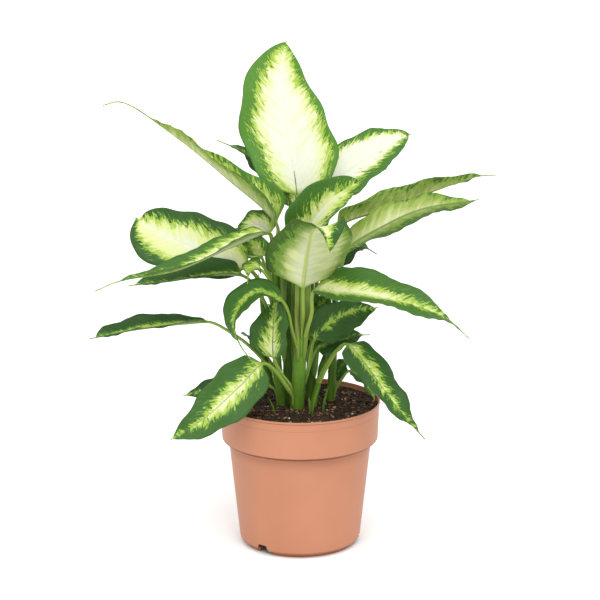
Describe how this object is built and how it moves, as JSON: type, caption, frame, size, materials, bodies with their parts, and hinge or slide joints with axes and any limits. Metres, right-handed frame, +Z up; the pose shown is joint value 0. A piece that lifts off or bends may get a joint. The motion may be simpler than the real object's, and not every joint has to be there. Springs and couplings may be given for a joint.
{
  "type": "potted dieffenbachia",
  "caption": "Bushy potted foliage plant with large variegated green and cream leaves on upright stems in a tapered terracotta-coloured plastic nursery pot.",
  "frame": {"origin": "centre of the flat pad under the pot, on the surface that the pot stands on", "axes": "+Z up along the pot's axis, -Y to the side that faces the viewer, +X to the viewer's right"},
  "size_m": [0.4182, 0.2935, 0.5312],
  "materials": {
    "pot_plastic": "matte",
    "soil": "matte",
    "stem": "satin",
    "leaf": "satin"
  },
  "bodies": {
    "root": {"pot": "pot_plastic", "soil": "soil", "stem_main": "stem", "stem_left": "stem", "stem_right": "stem", "stem_right_back": "stem", "stem_back": "stem", "stem_inner_left": "stem", "stem_inner_right": "stem", "leaf_crown": "leaf", "leaf_upper_right": "leaf", "leaf_front": "leaf", "leaf_cupped": "leaf", "leaf_left_long": "leaf", "leaf_behind_crown": "leaf", "leaf_left_oval": "leaf", "leaf_left_small": "leaf", "leaf_left_narrow": "leaf", "leaf_left_level": "leaf", "leaf_left_low": "leaf", "leaf_hooked": "leaf", "leaf_small_facing": "leaf", "leaf_front_left": "leaf", "leaf_low_left_back": "leaf", "leaf_right": "leaf", "leaf_right_upper": "leaf", "leaf_right_second": "leaf", "leaf_right_small_dark": "leaf", "leaf_right_inner": "leaf", "leaf_right_folded": "leaf", "leaf_right_under": "leaf", "leaf_front_right": "leaf", "leaf_right_small_back": "leaf", "leaf_right_small_low": "leaf", "leaf_pale_left": "leaf", "leaf_pale_drooping": "leaf", "leaf_rolled": "leaf", "leaf_back_high": "leaf", "leaf_back_left": "leaf", "leaf_back_right": "leaf", "leaf_back_low": "leaf", "leaf_back_low_left": "leaf", "leaf_back_low_right": "leaf"}
  },
  "joints": []
}
